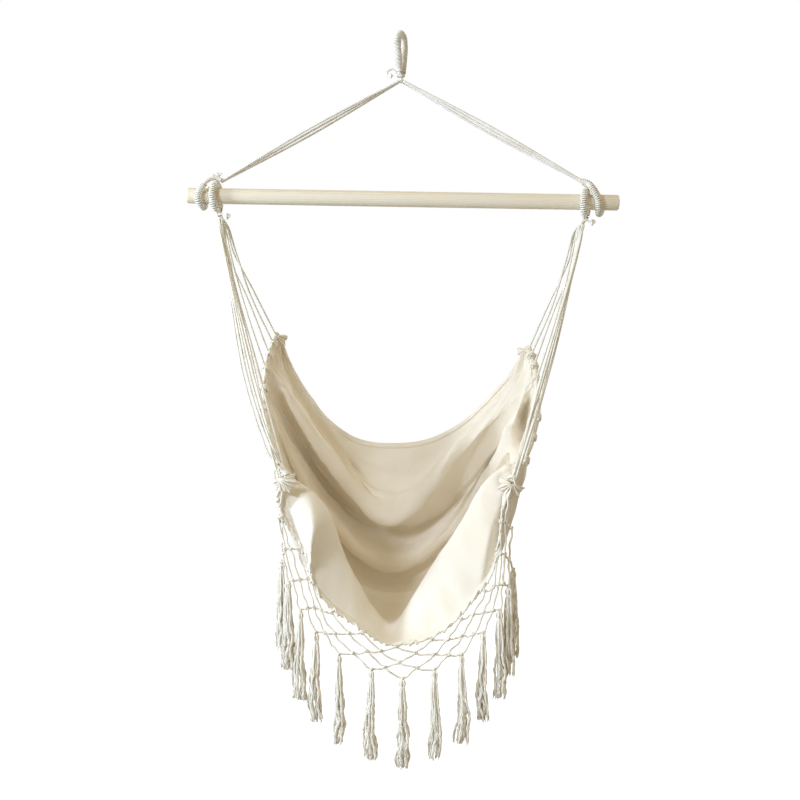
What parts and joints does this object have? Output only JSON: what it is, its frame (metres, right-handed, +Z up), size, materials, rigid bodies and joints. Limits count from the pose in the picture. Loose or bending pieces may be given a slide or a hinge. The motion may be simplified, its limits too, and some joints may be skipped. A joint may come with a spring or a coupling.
{
  "type": "hammock chair",
  "caption": "Hanging hammock chair: canvas sling with a netted, tasselled fringe, held by cord clews from a round wooden spreader bar and a rope bridle with one hanging eye.",
  "frame": {"origin": "the point inside the top of the hanging eye where a ceiling hook bears", "axes": "+Z up along the line of hang, +X along the spreader bar towards the sitter's left, -Y the way the sitter faces"},
  "size_m": [1.0004, 0.4003, 1.6596],
  "materials": {
    "cotton_rope": "matte",
    "cotton_twine": "matte",
    "cotton_yarn": "matte",
    "cotton_canvas": "matte",
    "pine_dowel": "satin"
  },
  "bodies": {
    "hanging_eye": {"hanging_eye_core": "cotton_rope", "hanging_eye_whipping": "cotton_twine", "hanging_eye_tail": "cotton_twine"},
    "throat_collar": {"throat_collar": "cotton_twine"},
    "throat_seizing": {"throat_seizing": "cotton_twine"},
    "bridle": {"left_bridle_cord_1": "cotton_rope", "left_bridle_cord_2": "cotton_rope", "left_bridle_cord_3": "cotton_rope", "left_bridle_loop": "cotton_rope", "left_bridle_whipping": "cotton_twine", "right_bridle_cord_1": "cotton_rope", "right_bridle_cord_2": "cotton_rope", "right_bridle_cord_3": "cotton_rope", "right_bridle_loop": "cotton_rope", "right_bridle_whipping": "cotton_twine"},
    "spreader_bar": {"spreader_bar": "pine_dowel"},
    "sling": {"left_clew_loop": "cotton_rope", "left_clew_whipping": "cotton_twine", "left_clew_tail": "cotton_twine", "left_clew_cord_1": "cotton_rope", "left_clew_cord_2": "cotton_rope", "left_clew_cord_3": "cotton_rope", "left_clew_cord_4": "cotton_rope", "left_clew_cord_5": "cotton_rope", "left_clew_cord_6": "cotton_rope", "left_clew_cord_7": "cotton_rope", "left_clew_cord_8": "cotton_rope", "left_clew_cord_9": "cotton_rope", "left_net_cord": "cotton_rope", "left_edge_rope": "cotton_rope", "right_clew_loop": "cotton_rope", "right_clew_whipping": "cotton_twine", "right_clew_tail": "cotton_twine", "right_clew_cord_1": "cotton_rope", "right_clew_cord_2": "cotton_rope", "right_clew_cord_3": "cotton_rope", "right_clew_cord_4": "cotton_rope", "right_clew_cord_5": "cotton_rope", "right_clew_cord_6": "cotton_rope", "right_clew_cord_7": "cotton_rope", "right_clew_cord_8": "cotton_rope", "right_clew_cord_9": "cotton_rope", "right_net_cord": "cotton_rope", "right_edge_rope": "cotton_rope", "sling_cloth": "cotton_canvas", "fringe_net": "cotton_twine"},
    "tassel_01": {"tassel_01": "cotton_yarn"},
    "tassel_02": {"tassel_02": "cotton_yarn"},
    "tassel_03": {"tassel_03": "cotton_yarn"},
    "tassel_04": {"tassel_04": "cotton_yarn"},
    "tassel_05": {"tassel_05": "cotton_yarn"},
    "tassel_06": {"tassel_06": "cotton_yarn"},
    "tassel_07": {"tassel_07": "cotton_yarn"},
    "tassel_08": {"tassel_08": "cotton_yarn"},
    "tassel_09": {"tassel_09": "cotton_yarn"},
    "tassel_10": {"tassel_10": "cotton_yarn"},
    "tassel_11": {"tassel_11": "cotton_yarn"},
    "tassel_12": {"tassel_12": "cotton_yarn"},
    "tassel_13": {"tassel_13": "cotton_yarn"}
  },
  "joints": [
    {"name": "chair_turn", "type": "hinge", "parent": "hanging_eye", "child": "throat_collar", "pos_m": [0, 0, -0.086], "axis": [0, 0, 1], "range_deg": [-180, 180]},
    {"name": "chair_sway", "type": "hinge", "parent": "throat_collar", "child": "throat_seizing", "pos_m": [0, 0, -0.0992], "axis": [0, 1, 0], "range_deg": [-20, 20]},
    {"name": "chair_swing", "type": "hinge", "parent": "throat_seizing", "child": "bridle", "pos_m": [0, 0, -0.0992], "axis": [1, 0, 0], "range_deg": [-30, 30]},
    {"name": "bar_roll", "type": "hinge", "parent": "bridle", "child": "spreader_bar", "pos_m": [0.0053, 0, -0.374], "axis": [0.9999, 0, -0.0166], "continuous": true},
    {"name": "sling_swing", "type": "hinge", "parent": "bridle", "child": "sling", "pos_m": [0.0053, 0, -0.374], "axis": [0.9999, 0, -0.0166], "range_deg": [-25, 25]},
    {"name": "tassel_01_swing", "type": "hinge", "parent": "sling", "child": "tassel_01", "pos_m": [-0.2672, -0.1026, -1.2026], "axis": [0.9444, -0.3288, 0], "range_deg": [-25, 25]},
    {"name": "tassel_02_swing", "type": "hinge", "parent": "sling", "child": "tassel_02", "pos_m": [-0.2496, -0.1335, -1.2388], "axis": [0.9698, -0.2439, 0], "range_deg": [-25, 25]},
    {"name": "tassel_03_swing", "type": "hinge", "parent": "sling", "child": "tassel_03", "pos_m": [-0.2224, -0.1448, -1.3025], "axis": [0.9941, -0.1082, 0], "range_deg": [-25, 25]},
    {"name": "tassel_04_swing", "type": "hinge", "parent": "sling", "child": "tassel_04", "pos_m": [-0.1872, -0.1546, -1.3493], "axis": [0.9977, -0.0683, 0], "range_deg": [-25, 25]},
    {"name": "tassel_05_swing", "type": "hinge", "parent": "sling", "child": "tassel_05", "pos_m": [-0.1366, -0.1627, -1.396], "axis": [0.9994, -0.0353, 0], "range_deg": [-25, 25]},
    {"name": "tassel_06_swing", "type": "hinge", "parent": "sling", "child": "tassel_06", "pos_m": [-0.065, -0.1676, -1.4279], "axis": [0.9999, -0.0155, 0], "range_deg": [-25, 25]},
    {"name": "tassel_07_swing", "type": "hinge", "parent": "sling", "child": "tassel_07", "pos_m": [0.0026, -0.1692, -1.447], "axis": [1, 0, 0], "range_deg": [-25, 25]},
    {"name": "tassel_08_swing", "type": "hinge", "parent": "sling", "child": "tassel_08", "pos_m": [0.0736, -0.1676, -1.4279], "axis": [0.9999, 0.0166, 0], "range_deg": [-25, 25]},
    {"name": "tassel_09_swing", "type": "hinge", "parent": "sling", "child": "tassel_09", "pos_m": [0.1328, -0.1627, -1.396], "axis": [0.9992, 0.0402, 0], "range_deg": [-25, 25]},
    {"name": "tassel_10_swing", "type": "hinge", "parent": "sling", "child": "tassel_10", "pos_m": [0.1808, -0.1546, -1.3501], "axis": [0.9976, 0.0691, 0], "range_deg": [-25, 25]},
    {"name": "tassel_11_swing", "type": "hinge", "parent": "sling", "child": "tassel_11", "pos_m": [0.2176, -0.1448, -1.3025], "axis": [0.9932, 0.1164, 0], "range_deg": [-25, 25]},
    {"name": "tassel_12_swing", "type": "hinge", "parent": "sling", "child": "tassel_12", "pos_m": [0.2384, -0.1335, -1.2515], "axis": [0.9567, 0.2912, 0], "range_deg": [-25, 25]},
    {"name": "tassel_13_swing", "type": "hinge", "parent": "sling", "child": "tassel_13", "pos_m": [0.2512, -0.101, -1.2175], "axis": [0.9306, 0.3659, 0], "range_deg": [-25, 25]}
  ]
}
